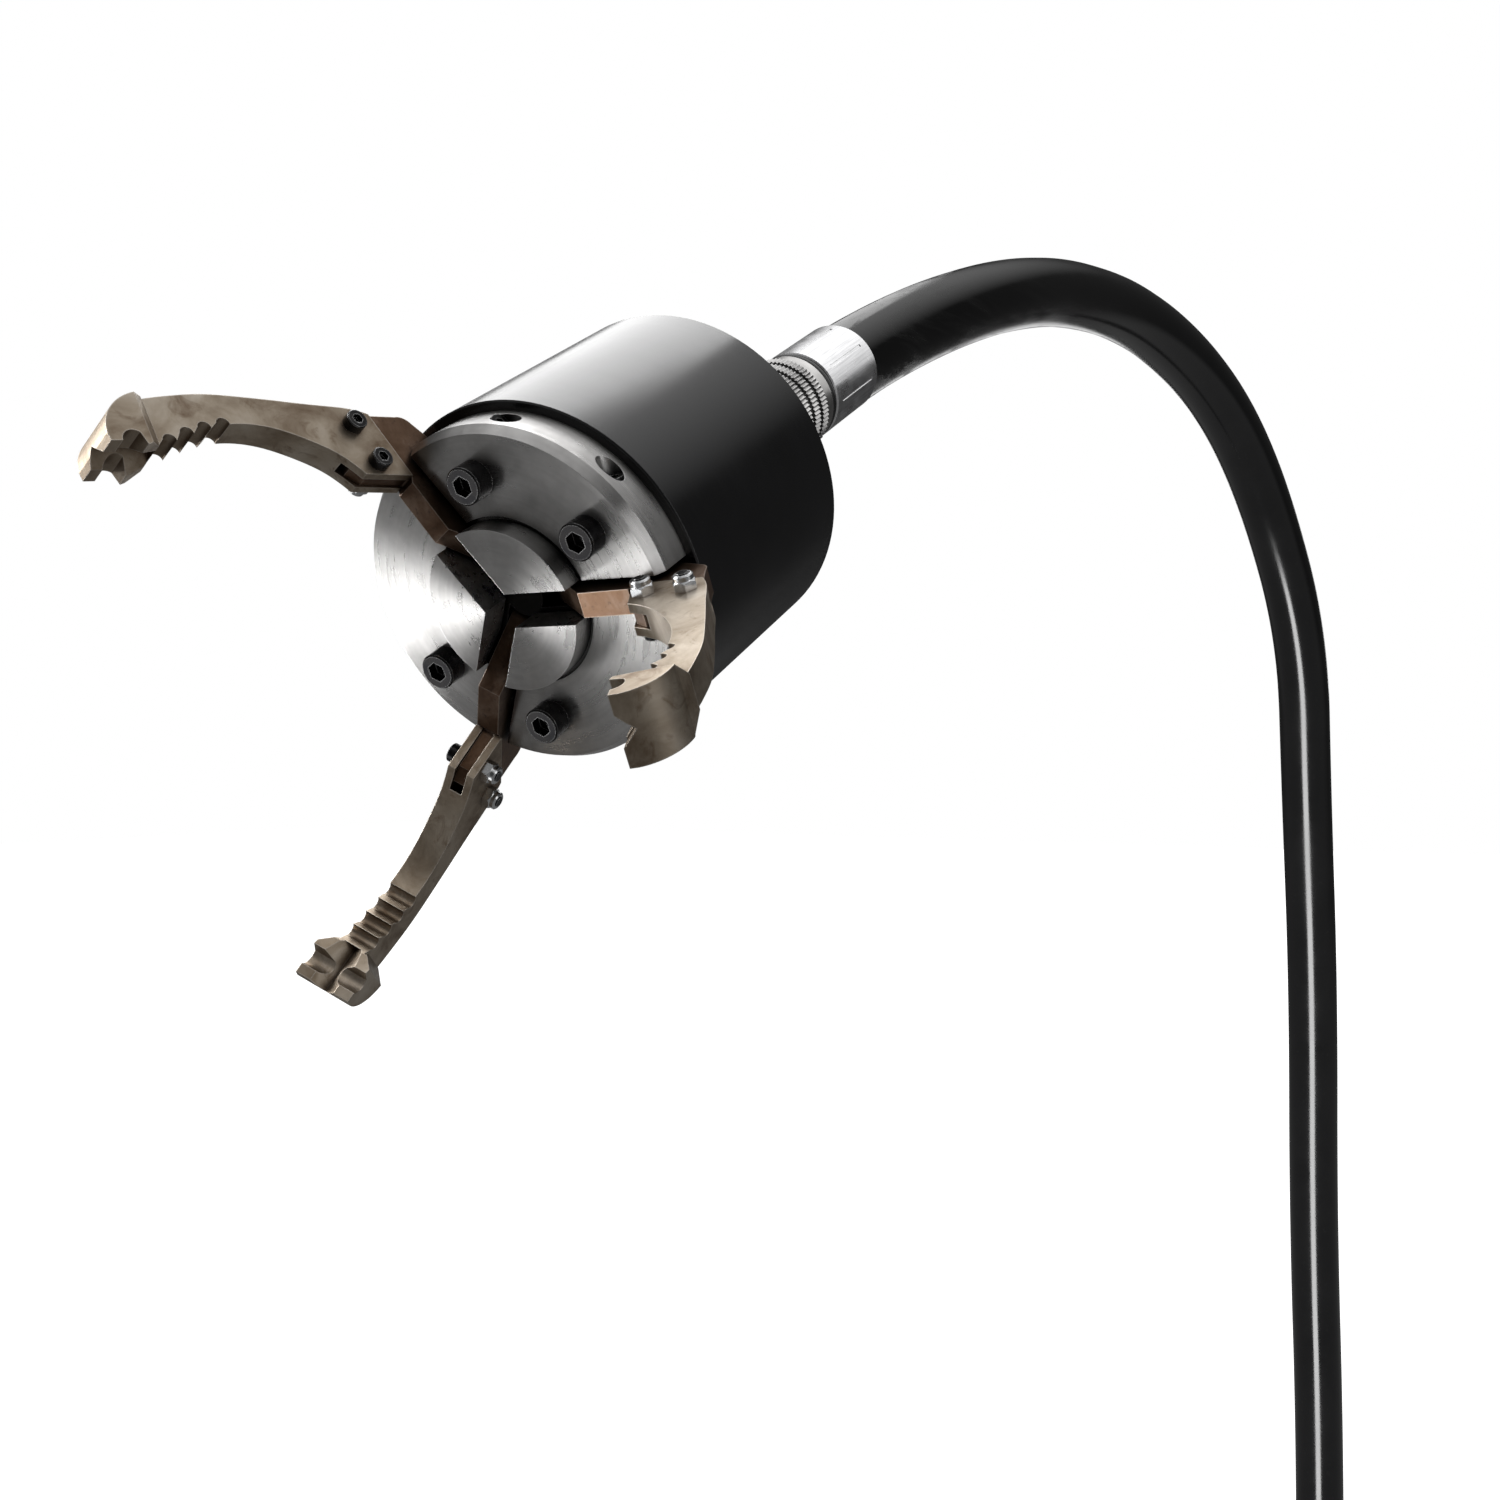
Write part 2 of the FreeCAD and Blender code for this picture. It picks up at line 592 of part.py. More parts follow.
def make_nipple():
    """Screwed into the housing's rear wall; the coupling nut draws the hose stem onto its nose."""
    body = cylinder(PORT_R, CHAMBER_REAR, HOUSING_REAR - OVER)
    body = body.fuse(hexagon(NIPPLE_HEX_AF, -NIPPLE_HEX_END, HOUSING_REAR))
    body = body.fuse(cylinder(NIPPLE_NOSE_R, -NIPPLE_NOSE_END, -NIPPLE_HEX_END + OVER))
    return body.cut(cylinder(AIR_BORE_R, -FAR * 2, 0)).removeSplitter()


def make_coupling_nut():
    body = cylinder(NUT_BODY_R, -NUT_END, -NUT_START)
    for start, end in KNURL_BANDS:
        points = []
        for i in range(2 * KNURL_TEETH):
            radius = KNURL_R - (KNURL_DEPTH if i % 2 else 0.0)
            angle = math.pi * i / KNURL_TEETH
            points.append(Vec(radius * math.cos(angle), radius * math.sin(angle), -end))
        points.append(points[0])
        body = body.fuse(Part.Face(Part.makePolygon(points)).extrude(Vec(0, 0, end - start)))
    body = body.cut(cylinder(NUT_THREAD_R, -NUT_THREAD_END, -NUT_START + OVER))
    return body.cut(cylinder(NUT_THROAT_R, -NUT_END - OVER, -NUT_START + OVER))


def make_stem():
    """Hose tail: a collar held by the coupling nut, a neck and a plain stem inside the hose."""
    body = cylinder(STEM_COLLAR_R, -STEM_COLLAR[1], -STEM_COLLAR[0])
    body = body.fuse(cylinder(STEM_NECK_R, -FERRULE_START - FERRULE_LIP, -STEM_COLLAR[1] + OVER))
    body = body.fuse(cylinder(STEM_R, -FERRULE_END + STEM_SHORT, -FERRULE_START))
    return body.cut(cylinder(AIR_BORE_R, -FERRULE_END, 0)).removeSplitter()


def make_ferrule():
    """A crimped sleeve along +Z from its lip at z = 0."""
    body = cylinder(FERRULE_R, 0, FERRULE_LENGTH)
    body = chamfered(body, FERRULE_EDGE, lambda edge: is_circle(edge, FERRULE_R, 0))
    body = body.cut(cylinder(HOSE_R, FERRULE_LIP, FERRULE_LENGTH + OVER))
    body = body.cut(cylinder(FERRULE_BORE_R, -OVER, FERRULE_LIP + OVER))
    for i in range(CRIMP_LINES):
        line = box(FERRULE_R - CRIMP_DEPTH, FERRULE_R + OVER, -CRIMP_HALF_W, CRIMP_HALF_W,
                   CRIMP_MARGIN, FERRULE_LENGTH - CRIMP_MARGIN)
        body = body.cut(about_z(line, CRIMP_FIRST + 360.0 * i / CRIMP_LINES))
    return body


def route_points():
    start = HEAD.multVec(Vec(0, 0, -HOSE_START))
    first_turn = HEAD.multVec(Vec(0, 0, -HOSE_FIRST_TURN))
    middle = [FACE_CENTRE + point for point in HOSE_MIDDLE]
    return [start, first_turn] + middle + [FACE_CENTRE + HOSE_LAST_TURN, FACE_CENTRE + HOSE_END]


def route_wire(points):
    edges = []
    length = 0.0
    here = points[0]
    for before, corner, after in zip(points[:-2], points[1:-1], points[2:]):
        back = before - corner
        ahead = after - corner
        reach = ARC_SHARE * min(back.Length, ahead.Length)
        back.normalize()
        ahead.normalize()
        half_turn = (math.pi - back.getAngle(ahead)) / 2.0
        radius = reach / math.tan(half_turn)
        print("turn %.1f degrees, radius %.0f mm" % (math.degrees(2 * half_turn), radius))
        into = corner + back * reach
        out = corner + ahead * reach
        inward = back + ahead
        inward.normalize()
        centre = corner + inward * (radius / math.cos(half_turn))
        middle = centre - inward * radius
        edges.append(Part.LineSegment(here, into).toShape())
        edges.append(Part.Arc(into, middle, out).toShape())
        length += (into - here).Length + radius * 2 * half_turn
        here = out
    edges.append(Part.LineSegment(here, points[-1]).toShape())
    length += (points[-1] - here).Length
    return Part.Wire(edges), length


def make_hose():
    points = route_points()
    wire, length = route_wire(points)
    direction = points[1] - points[0]
    outer = wire.makePipeShell([Part.Wire(Part.makeCircle(HOSE_R, points[0], direction))], True, False)
    inner = wire.makePipeShell([Part.Wire(Part.makeCircle(HOSE_BORE_R, points[0], direction))], True, False)
    tube = outer.cut(inner)
    section = math.pi * (HOSE_R ** 2 - HOSE_BORE_R ** 2)
    ratio = tube.Volume / (section * length)
    print("hose length %.1f mm, volume / (section x length) = %.4f" % (length, ratio))
    return tube


# ---------------------------------------------------------------- hose end at the mount

def make_lower_fitting(hose_end):
    """Stem up into the hose, neck, hexagon and a male thread whose shoulder is the origin."""
    top = hose_end.z
    body = cylinder(LOWER_THREAD_R, -LOWER_THREAD_LENGTH, OVER)
    tip = -LOWER_THREAD_LENGTH
    body = chamfered(body, LOWER_THREAD_EDGE, lambda edge: is_circle(edge, LOWER_THREAD_R, tip))
    body = body.fuse(hexagon(LOWER_HEX_AF, 0, LOWER_HEX_H))
    body = body.fuse(cylinder(STEM_NECK_R, LOWER_HEX_H - OVER, top))
    body = body.fuse(cylinder(STEM_R, top - OVER, top + FERRULE_LENGTH - FERRULE_LIP - STEM_SHORT))
    return body.cut(cylinder(AIR_BORE_R, -FAR, FAR * 2)).removeSplitter()


# ---------------------------------------------------------------- build

add_head("housing", make_housing())
add_head("front_flange", make_flange())

flange_screws = []
for screw_angle in FLANGE_SCREW_ANGLES:
    screw = cap_screw(M6_R, M6_HEAD_R, M6_HEAD_H, M6_LENGTH, M6_SOCKET_AF)
    screw.translate(Vec(FLANGE_SCREW_CIRCLE_R, 0, 0))
    flange_screws.append(about_z(screw, screw_angle))
add_head("flange_screws", *flange_screws)

pivot_pins = []
set_screws = []
for lever_angle in LEVER_ANGLES:
    pin = cross_cylinder(PIVOT_PIN_R, PIVOT_X, PIVOT_Z, -PIVOT_PIN_HALF, PIVOT_PIN_HALF)
    pivot_pins.append(about_z(pin, lever_angle))
    for screw_side in (-1, 1):
        lying = across_slot(set_screw(), PIVOT_X, PIVOT_Z, screw_side, SET_SCREW_START)
        set_screws.append(about_z(lying, lever_angle))
add_head("pivot_pins", *pivot_pins)
add_head("pin_set_screws", *set_screws)

for number, (lever_angle, extra) in enumerate(zip(LEVER_ANGLES, EXTRA_OPENING), 1):
    eye_x, eye_z = drive_point(DRIVE_ANGLE)
    drive_pin = cross_cylinder(DRIVE_PIN_R, eye_x, eye_z, -DRIVE_PIN_HALF, DRIVE_PIN_HALF)
    bolts = [across_slot(make_jaw_bolt(), x, z, -1, JAW_T / 2) for x, z in JAW_BOLT_POINTS]
    nuts = [across_slot(make_jaw_nut(), x, z, 1, JAW_T / 2) for x, z in JAW_BOLT_POINTS]
    pieces = {"lever": [make_lever()], "drive_pin": [drive_pin], "jaw": [make_jaw()],
              "jaw_bolts": bolts, "jaw_nuts": nuts}
    for name, solids in pieces.items():
        for solid in solids:
            solid.rotate(Vec(PIVOT_X, 0, PIVOT_Z), Vec(0, 1, 0), extra)
        add_head("%s_%d" % (name, number), *[about_z(solid, lever_angle) for solid in solids])

add_head("crosshead", make_crosshead())
add_head("piston_rod", make_rod())
add_head("piston", make_piston())
add_head("piston_nut", make_piston_nut())
seal_half = SEAL_W / 2 - RING_SIDE_PLAY
add_head("piston_seal", ring(PISTON_R + RING_PROUD, SEAL_GROOVE_R, SEAL_Z - seal_half, SEAL_Z + seal_half))
guide_half = GUIDE_W / 2 - RING_SIDE_PLAY
add_head("piston_guide_ring",
         ring(PISTON_R + RING_PROUD, GUIDE_GROOVE_R, GUIDE_Z - guide_half, GUIDE_Z + guide_half))
add_head("closing_spring", make_spring())

add_head("inlet_nipple", make_nipple())
add_head("coupling_nut", make_coupling_nut())
add_head("hose_stem", make_stem())
add_head("gland_ring", Part.makeTorus(GLAND_RING_R, GLAND_CORD_R, Vec(0, 0, -(NUT_END + GLAND_RING_END) / 2)))

upper_ferrule = make_ferrule()
upper_ferrule.rotate(Vec(0, 0, 0), Vec(1, 0, 0), 180.0)
upper_ferrule.translate(Vec(0, 0, -FERRULE_START))
add_head("upper_ferrule", upper_ferrule)

add("hose", make_hose())
end_point = FACE_CENTRE + HOSE_END
lower_ferrule = make_ferrule()
lower_ferrule.translate(Vec(end_point.x, end_point.y, end_point.z - FERRULE_LIP))
add("lower_ferrule", lower_ferrule)
add("lower_fitting", make_lower_fitting(end_point))

os.makedirs("parts", exist_ok=True)
for name, shape in nodes.items():
    bad = [i for i, solid in enumerate(shape.Solids) if not solid.isValid()]
    note = " INVALID" if bad else ""
    print("%-18s solids %d volume %.0f%s" % (name, len(shape.Solids), shape.Volume, note))
    shape.exportStep("parts/%s.step" % name)
print("stroke %.3f mm" % STROKE)
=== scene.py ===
import json
import math

import bpy
from mathutils import Matrix, Vector


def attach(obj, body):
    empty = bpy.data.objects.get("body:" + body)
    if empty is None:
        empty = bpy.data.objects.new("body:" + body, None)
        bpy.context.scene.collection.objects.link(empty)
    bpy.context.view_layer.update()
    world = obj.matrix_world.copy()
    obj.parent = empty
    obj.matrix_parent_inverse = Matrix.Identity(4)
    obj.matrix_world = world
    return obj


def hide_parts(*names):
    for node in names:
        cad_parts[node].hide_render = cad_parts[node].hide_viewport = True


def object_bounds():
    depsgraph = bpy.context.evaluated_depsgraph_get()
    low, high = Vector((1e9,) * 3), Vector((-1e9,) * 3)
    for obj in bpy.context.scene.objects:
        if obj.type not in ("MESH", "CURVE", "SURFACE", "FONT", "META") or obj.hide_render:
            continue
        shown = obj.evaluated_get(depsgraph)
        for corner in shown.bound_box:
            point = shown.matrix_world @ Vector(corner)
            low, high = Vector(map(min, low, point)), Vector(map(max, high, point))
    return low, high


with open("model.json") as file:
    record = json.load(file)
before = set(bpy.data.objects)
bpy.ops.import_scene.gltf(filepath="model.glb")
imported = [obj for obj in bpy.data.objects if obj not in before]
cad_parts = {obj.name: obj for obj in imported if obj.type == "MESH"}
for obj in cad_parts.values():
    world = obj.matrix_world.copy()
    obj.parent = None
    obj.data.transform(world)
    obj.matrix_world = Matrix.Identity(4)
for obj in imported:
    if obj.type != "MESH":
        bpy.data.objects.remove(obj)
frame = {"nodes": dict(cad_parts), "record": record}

CAD_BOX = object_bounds()
NODES = frame["nodes"]

# The head's own axes in the row frame: origin at the centre of the flange face, Z out of the face,
# X towards the upper side.
FACE_CENTRE = Vector((0.780, -0.024, 0.592))
NOSE_DOWN = math.radians(28.0)
FRONT = Vector((math.cos(NOSE_DOWN), 0.0, -math.sin(NOSE_DOWN)))
UPPER = Vector((math.sin(NOSE_DOWN), 0.0, math.cos(NOSE_DOWN)))
ACROSS = Vector((0.0, -1.0, 0.0))
HEAD_TURN = Matrix((UPPER, ACROSS, FRONT)).transposed().to_euler()

# The camera that the object is seen through
CAMERA_AT = (1.1378, 0.2641, 0.5532)
CAMERA_TURN = (math.radians(90.0), 0.0, math.radians(121.18))
CAMERA_LENS = 41.82
CAMERA_SENSOR = 36.0

# The hose's size, its mesh divisions and its route from the head to the lower fitting
HOSE_DIAMETER = 0.029
HOSE_SMOOTHNESS = 16
HOSE_ROUNDNESS = 10
HOSE_ROUTE = (
    (0.629016, -0.024, 0.672280),
    (0.580454, -0.024, 0.698101),
    (0.495, -0.0165, 0.734),
    (0.401, -0.016, 0.758),
    (0.305, -0.012, 0.764),
    (0.215, -0.0035, 0.7435),
    (0.146, 0.0035, 0.697),
    (0.0885, 0.0105, 0.620),
    (0.0545, 0.0045, 0.528),
    (0.0305, 0.003, 0.4055),
    (0.0135, -0.001, 0.257),
    (0.0, 0.0, 0.112),
    (0.0, 0.0, 0.018),
)

# The hose is scuffed near the head: not at all at SCUFF_END in X, and fully SCUFF_LENGTH nearer the head
SCUFF_END = 0.42
SCUFF_LENGTH = 0.20

# Shader settings that the finishes share
EDGE_SAMPLES = 6
ROUNDING_SAMPLES = 4
EDGE_ROUNDING = 0.00022
QUARTER_TURN = 0.25
BARE_STEEL = (0.86, 0.86, 0.86)


# ---------------------------------------------------------------- node helpers

class Shader:
    """One procedural material and short ways to add nodes to it."""

    def __init__(self, name, rough, metallic=0.0, **sockets):
        self.material = bpy.data.materials.new(name)
        self.material.use_nodes = True
        self.tree = self.material.node_tree
        self.bsdf = self.tree.nodes["Principled BSDF"]
        self.bsdf.inputs["Roughness"].default_value = rough
        self.bsdf.inputs["Metallic"].default_value = metallic
        for socket, value in sockets.items():
            self.bsdf.inputs[socket.replace("_", " ")].default_value = value

    def node(self, kind, **settings):
        made = self.tree.nodes.new("ShaderNode" + kind)
        for key, value in settings.items():
            setattr(made, key, value)
        return made

    def link(self, out, into):
        self.tree.links.new(out, into)

    def put(self, socket, value):
        """Sets a number or colour on a socket, or links another node's output to it."""
        if isinstance(value, bpy.types.NodeSocket):
            self.link(value, socket)
        else:
            socket.default_value = value

    def place(self):
        return self.node("TexCoord").outputs["Object"]

    def head_place(self):
        """Object coordinates turned into the head's axes, in metres."""
        mapping = self.node("Mapping", vector_type="TEXTURE")
        mapping.inputs["Location"].default_value = FACE_CENTRE
        mapping.inputs["Rotation"].default_value = HEAD_TURN
        self.link(self.place(), mapping.inputs["Vector"])
        return mapping.outputs["Vector"]

    def math(self, operation, first, second=0.0):
        made = self.node("Math", operation=operation)
        self.put(made.inputs[0], first)
        self.put(made.inputs[1], second)
        return made.outputs[0]

    def parts(self, vector):
        made = self.node("SeparateXYZ")
        self.link(vector, made.inputs[0])
        return made.outputs

    def join(self, x, y, z):
        made = self.node("CombineXYZ")
        for socket, value in zip(made.inputs, (x, y, z)):
            self.put(socket, value)
        return made.outputs[0]

    def round_place(self, along, around):
        """Radius, angle and depth about the head's axis, for turned or drawn marks."""
        x, y, z = self.parts(self.head_place())
        squares = self.math("ADD", self.math("MULTIPLY", x, x), self.math("MULTIPLY", y, y))
        radius = self.math("SQRT", squares)
        angle = self.math("ARCTAN2", y, x)
        return self.join(self.math("MULTIPLY", radius, along), self.math("MULTIPLY", angle, around),
                         self.math("MULTIPLY", z, along))

    def stretched(self, vector, scale):
        mapping = self.node("Mapping")
        mapping.inputs["Scale"].default_value = scale
        self.link(vector, mapping.inputs["Vector"])
        return mapping.outputs["Vector"]

    def noise(self, vector, scale, detail=3.0, roughness=0.5, distortion=0.0):
        made = self.node("TexNoise")
        self.link(vector, made.inputs["Vector"])
        made.inputs["Scale"].default_value = scale
        made.inputs["Detail"].default_value = detail
        made.inputs["Roughness"].default_value = roughness
        made.inputs["Distortion"].default_value = distortion
        return made.outputs["Fac"]

    def ramp(self, value, *stops):
        """Remaps a number through (position, colour or grey) stops."""
        made = self.node("ValToRGB")
        self.link(value, made.inputs["Fac"])
        elements = made.color_ramp.elements
        while len(elements) < len(stops):
            elements.new(0.5)
        for element, (position, colour) in zip(elements, stops):
            element.position = position
            grey = isinstance(colour, (int, float))
            element.color = (colour, colour, colour, 1.0) if grey else tuple(colour) + (1.0,)
        return made.outputs["Color"]

    def mix(self, share, first, second):
        made = self.node("Mix", data_type="RGBA")
        self.put(made.inputs["Factor"], share)
        for socket, value in ((made.inputs[6], first), (made.inputs[7], second)):
            self.put(socket, value if isinstance(value, bpy.types.NodeSocket) else tuple(value) + (1.0,))
        return made.outputs[2]

    def edges(self, radius, low=0.02, high=0.2):
        """1 on sharp edges and 0 elsewhere."""
        bevel = self.node("Bevel", samples=EDGE_SAMPLES)
        bevel.inputs["Radius"].default_value = radius
        geometry = self.node("NewGeometry")
        dot = self.node("VectorMath", operation="DOT_PRODUCT")
        self.link(bevel.outputs[0], dot.inputs[0])
        self.link(geometry.outputs["Normal"], dot.inputs[1])
        gap = self.math("SUBTRACT", 1.0, dot.outputs["Value"])
        return self.ramp(gap, (low, 0.0), (high, 1.0))

    def hollow_painted_shade(self, distance, colour, shade_colour, low=0.35, high=0.85):
        """Painted shade: colour that falls to a darker one in corners and hollows."""
        occlusion = self.node("AmbientOcclusion", samples=EDGE_SAMPLES)
        occlusion.inputs["Distance"].default_value = distance
        return self.mix(self.ramp(occlusion.outputs["AO"], (low, 0.0), (high, 1.0)), shade_colour, colour)

    def bump(self, *layers):
        """Stacks (height, strength, distance in metres) layers on a normal with softened edges."""
        bevel = self.node("Bevel", samples=ROUNDING_SAMPLES)
        bevel.inputs["Radius"].default_value = EDGE_ROUNDING
        normal = bevel.outputs[0]
        for height, strength, distance in layers:
            made = self.node("Bump")
            made.inputs["Strength"].default_value = strength
            made.inputs["Distance"].default_value = distance
            self.link(height, made.inputs["Height"])
            self.link(normal, made.inputs["Normal"])
            normal = made.outputs["Normal"]
        self.link(normal, self.bsdf.inputs["Normal"])

    def turned_tangent(self):
        """Points the tangent round the head's axis, along the turning marks."""
        offset = self.node("VectorMath", operation="SUBTRACT")
        self.link(self.place(), offset.inputs[0])
        offset.inputs[1].default_value = FACE_CENTRE
        cross = self.node("VectorMath", operation="CROSS_PRODUCT")
        cross.inputs[0].default_value = FRONT
        self.link(offset.outputs[0], cross.inputs[1])
        turn = self.node("VectorTransform", vector_type="VECTOR", convert_from="OBJECT", convert_to="WORLD")
        self.link(cross.outputs[0], turn.inputs[0])
        self.link(turn.outputs[0], self.bsdf.inputs["Tangent"])

    def colour(self, value):
        self.put(self.bsdf.inputs["Base Color"], value)

    def roughness(self, value):
        self.put(self.bsdf.inputs["Roughness"], value)


# ---------------------------------------------------------------- materials

def housing_black():
    """Smooth black coating with faint turning marks and lighter edges."""
    s = Shader("housing_black", 0.34, 0.0, Specular_IOR_Level=0.8)
    turned = s.noise(s.round_place(1100.0, 1.2), 1.0, 3.0, 0.6)
    grain = s.noise(s.place(), 2600.0, 2.0)
    cloud = s.noise(s.place(), 38.0, 4.0, 0.6)
    base = s.mix(s.ramp(cloud, (0.3, 0.0), (0.75, 1.0)), (0.0050, 0.0050, 0.0055), (0.0090, 0.0090, 0.0098))
    s.colour(s.mix(s.edges(0.0005), base, (0.060, 0.060, 0.064)))
    s.roughness(s.ramp(s.mix(0.45, cloud, turned), (0.3, 0.17), (0.7, 0.25)))
    s.bump((turned, 0.03, 0.00002), (grain, 0.05, 0.00002))
    return s.material


def turned_metal(name, colour, rough, anisotropy):
    """Metal turned on a lathe: rings, stains, worn edges, painted shade in hollows and a highlight across
    the rings.
    """
    s = Shader(name, rough, 1.0, Anisotropic=anisotropy, Anisotropic_Rotation=QUARTER_TURN)
    fine = s.noise(s.round_place(800.0, 0.9), 1.0, 1.0, 0.5)
    broad = s.noise(s.round_place(520.0, 2.0), 1.0, 3.0, 0.6)
    smear = s.noise(s.place(), 48.0, 4.0, 0.6)
    darker = tuple(0.90 * c for c in colour)
    base = s.mix(s.ramp(fine, (0.32, 0.0), (0.68, 1.0)), darker, colour)
    stained = s.mix(s.ramp(smear, (0.42, 0.0), (0.70, 0.75)), base, tuple(0.50 * c for c in colour))
    # Painted shade: the colour falls to near black in corners and hollows.
    s.colour(s.hollow_painted_shade(0.008, s.mix(s.edges(0.00035), stained, BARE_STEEL), (0.02, 0.02, 0.02), 0.25, 0.7))
    s.roughness(s.ramp(s.mix(0.5, broad, smear), (0.3, rough - 0.07), (0.7, rough + 0.09)))
    s.bump((broad, 0.03, 0.00001))
    s.turned_tangent()
    return s.material


def black_oxide():
    """Blackened screws with bare edges."""
    s = Shader("screw_black", 0.25, 0.85)
    grain = s.noise(s.place(), 2400.0, 3.0, 0.6)
    cloud = s.noise(s.place(), 220.0, 4.0, 0.6)
    base = s.mix(s.ramp(cloud, (0.35, 0.0), (0.7, 1.0)), (0.016, 0.016, 0.018), (0.045, 0.043, 0.043))
    s.colour(s.mix(s.edges(0.0004, 0.01, 0.12), base, (0.46, 0.46, 0.46)))
    s.roughness(s.ramp(cloud, (0.3, 0.17), (0.7, 0.34)))
    s.bump((grain, 0.12, 0.00004))
    return s.material


def lever_bronze():
    """Brown oxidised levers with spots, bare edges and painted shade in hollows."""
    s = Shader("lever_bronze", 0.40, 0.92)
    along = s.noise(s.stretched(s.head_place(), (900.0, 900.0, 120.0)), 1.0, 4.0, 0.6)
    cloud = s.noise(s.place(), 95.0, 5.0, 0.62, 0.4)
    spots = s.noise(s.place(), 620.0, 3.0, 0.6)
    base = s.ramp(cloud, (0.25, (0.080, 0.042, 0.022)), (0.5, (0.165, 0.100, 0.064)),
                  (0.78, (0.33, 0.245, 0.19)))
    spotted = s.mix(s.ramp(spots, (0.58, 0.0), (0.72, 0.6)), base, (0.060, 0.040, 0.030))
    worn = s.mix(s.edges(0.0005, 0.01, 0.15), spotted, (0.56, 0.47, 0.40))
    # Painted shade: the colour falls to near black in corners and hollows.
    s.colour(s.hollow_painted_shade(0.012, worn, (0.014, 0.010, 0.008), 0.2, 0.75))
    s.roughness(s.ramp(cloud, (0.3, 0.30), (0.7, 0.48)))
    s.bump((along, 0.14, 0.00006), (spots, 0.10, 0.00005))
    return s.material


def jaw_nickel():
    """Beige plated jaws with brown stains and painted shade in hollows."""
    s = Shader("jaw_nickel", 0.38, 0.94)
    blast = s.noise(s.place(), 1900.0, 3.0, 0.65)
    cloud = s.noise(s.place(), 62.0, 5.0, 0.6, 0.6)
    stain = s.noise(s.place(), 130.0, 6.0, 0.62, 1.2)
    base = s.ramp(cloud, (0.30, (0.22, 0.160, 0.108)), (0.52, (0.46, 0.385, 0.30)),
                  (0.72, (0.66, 0.59, 0.50)))
    stained = s.mix(s.ramp(stain, (0.55, 0.0), (0.72, 0.75)), base, (0.17, 0.105, 0.062))
    worn = s.mix(s.edges(0.0006, 0.01, 0.16), stained, (0.70, 0.64, 0.56))
    # Painted shade: the colour falls to dark brown in corners and hollows.
    s.colour(s.hollow_painted_shade(0.018, worn, (0.10, 0.060, 0.034)))
    s.roughness(s.ramp(s.mix(0.5, stain, blast), (0.3, 0.33), (0.7, 0.52)))
    s.bump((blast, 0.22, 0.00006), (cloud, 0.05, 0.0003))
    return s.material


def plain_metal(name, colour, rough, grain_scale=1500.0, edge=None):
    """Machined metal with grain and stains."""
    s = Shader(name, rough, 1.0)
    grain = s.noise(s.place(), grain_scale, 4.0, 0.62)
    cloud = s.noise(s.place(), 120.0, 5.0, 0.6, 0.4)
    base = s.mix(s.ramp(grain, (0.35, 0.0), (0.65, 1.0)), tuple(0.84 * c for c in colour), colour)
    stained = s.mix(s.ramp(cloud, (0.5, 0.0), (0.8, 0.25)), base, tuple(0.5 * c for c in colour))
    s.colour(s.mix(s.edges(0.0003), stained, edge or tuple(min(0.95, 1.2 * c) for c in colour)))
    s.roughness(s.ramp(cloud, (0.3, rough - 0.08), (0.7, rough + 0.10)))
    s.bump((grain, 0.12, 0.00004))
    return s.material


def drawn_metal(name, colour, rough):
    """Bright sleeve metal with drawing marks that run along the hose."""
    s = Shader(name, rough, 1.0)
    lines = s.noise(s.place(), 900.0, 4.0, 0.65)
    marks = s.noise(s.round_place(60.0, 26.0), 1.0, 4.0, 0.6)
    cloud = s.noise(s.place(), 150.0, 5.0, 0.6)
    base = s.mix(s.ramp(marks, (0.35, 0.0), (0.65, 1.0)), tuple(0.76 * c for c in colour), colour)
    s.colour(s.mix(s.edges(0.0005), base, (0.92, 0.92, 0.92)))
    s.roughness(s.ramp(cloud, (0.3, rough - 0.06), (0.7, rough + 0.10)))
    s.bump((marks, 0.10, 0.00003), (lines, 0.06, 0.00003))
    return s.material


def rubber(name, scale, rough, scuffed=False):
    """Black rubber with pores, and grey scuffs along X where it is scuffed."""
    s = Shader(name, rough, 0.0, Specular_IOR_Level=0.6)
    grain = s.noise(s.place(), 1700.0, 4.0, 0.65)
    pores = s.noise(s.place(), 420.0, 3.0, 0.5)
    cloud = s.noise(s.place(), scale, 5.0, 0.6, 0.3)
    base = s.mix(s.ramp(cloud, (0.3, 0.0), (0.75, 1.0)), (0.0022, 0.0022, 0.0024), (0.0048, 0.0048, 0.0050))
    base = s.mix(s.ramp(pores, (0.62, 0.0), (0.78, 0.35)), base, (0.011, 0.011, 0.011))
    gloss = s.ramp(cloud, (0.3, rough - 0.04), (0.7, rough + 0.05))
    if scuffed:
        streaks = s.noise(s.stretched(s.place(), (14.0, 210.0, 160.0)), 1.0, 5.0, 0.62, 0.5)
        x = s.parts(s.place())[0]
        near = s.ramp(s.math("SUBTRACT", x, SCUFF_END), (0.0, 0.0), (SCUFF_LENGTH, 1.0))
        scuff = s.math("MULTIPLY", s.ramp(streaks, (0.47, 0.0), (0.66, 1.0)), near)
        base = s.mix(scuff, base, (0.036, 0.036, 0.036))
        gloss = s.mix(scuff, gloss, (0.42, 0.42, 0.42))
    s.colour(base)
    s.roughness(gloss)
    s.bump((grain, 0.12, 0.00003), (pores, 0.05, 0.00008))
    return s.material


def plastic(name, colour):
    """Dull plastic with fine grain."""
    s = Shader(name, 0.5, 0.0)
    grain = s.noise(s.place(), 1600.0, 3.0, 0.6)
    cloud = s.noise(s.place(), 160.0, 4.0, 0.6)
    s.colour(s.mix(s.ramp(cloud, (0.3, 0.0), (0.7, 1.0)), tuple(0.8 * c for c in colour), colour))
    s.roughness(s.ramp(cloud, (0.3, 0.42), (0.7, 0.58)))
    s.bump((grain, 0.12, 0.00005))
    return s.material


